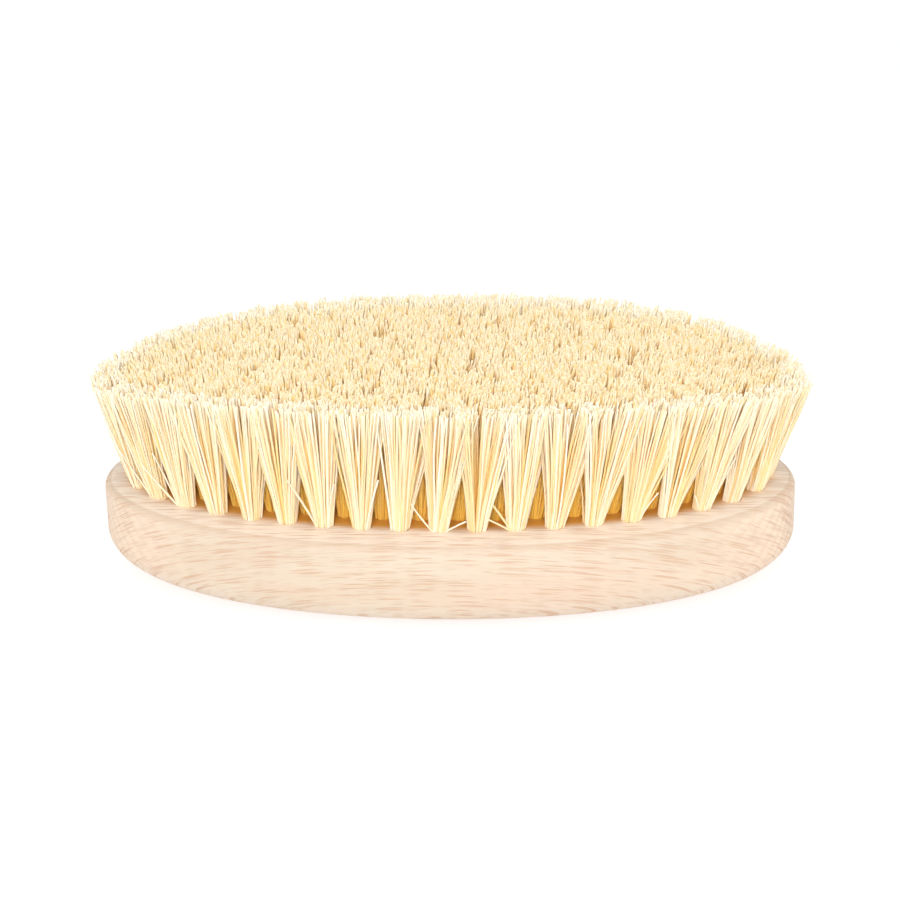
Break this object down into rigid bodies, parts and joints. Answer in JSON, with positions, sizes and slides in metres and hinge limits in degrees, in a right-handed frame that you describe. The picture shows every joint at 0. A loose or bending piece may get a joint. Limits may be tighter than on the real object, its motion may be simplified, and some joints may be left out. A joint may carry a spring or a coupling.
{
  "type": "body brush",
  "caption": "Oval hand brush: one-piece wooden back with rounded palm side, set with splayed tufts of stiff plant fibre trimmed to a low crown.",
  "frame": {"origin": "middle of the flat palm face, which the brush rests on", "axes": "+X along the brush, +Y across it, +Z from the palm face to the bristle tips"},
  "size_m": [0.139, 0.072, 0.0444],
  "materials": {
    "beech": "fine sanded, bare, short dark pore flecks along the length",
    "fibre": "stiff cream-coloured plant fibre, satin"
  },
  "bodies": {
    "root": {"wood_back": "beech", "outer_tuft_01": "fibre", "outer_tuft_02": "fibre", "outer_tuft_03": "fibre", "outer_tuft_04": "fibre", "outer_tuft_05": "fibre", "outer_tuft_06": "fibre", "outer_tuft_07": "fibre", "outer_tuft_08": "fibre", "outer_tuft_09": "fibre", "outer_tuft_10": "fibre", "outer_tuft_11": "fibre", "outer_tuft_12": "fibre", "outer_tuft_13": "fibre", "outer_tuft_14": "fibre", "outer_tuft_15": "fibre", "outer_tuft_16": "fibre", "outer_tuft_17": "fibre", "outer_tuft_18": "fibre", "outer_tuft_19": "fibre", "outer_tuft_20": "fibre", "outer_tuft_21": "fibre", "outer_tuft_22": "fibre", "outer_tuft_23": "fibre", "outer_tuft_24": "fibre", "outer_tuft_25": "fibre", "outer_tuft_26": "fibre", "outer_tuft_27": "fibre", "outer_tuft_28": "fibre", "outer_tuft_29": "fibre", "outer_tuft_30": "fibre", "outer_tuft_31": "fibre", "outer_tuft_32": "fibre", "outer_tuft_33": "fibre", "outer_tuft_34": "fibre", "outer_tuft_35": "fibre", "outer_tuft_36": "fibre", "outer_tuft_37": "fibre", "outer_tuft_38": "fibre", "outer_tuft_39": "fibre", "outer_tuft_40": "fibre", "inner_tufts": "fibre"}
  },
  "joints": []
}
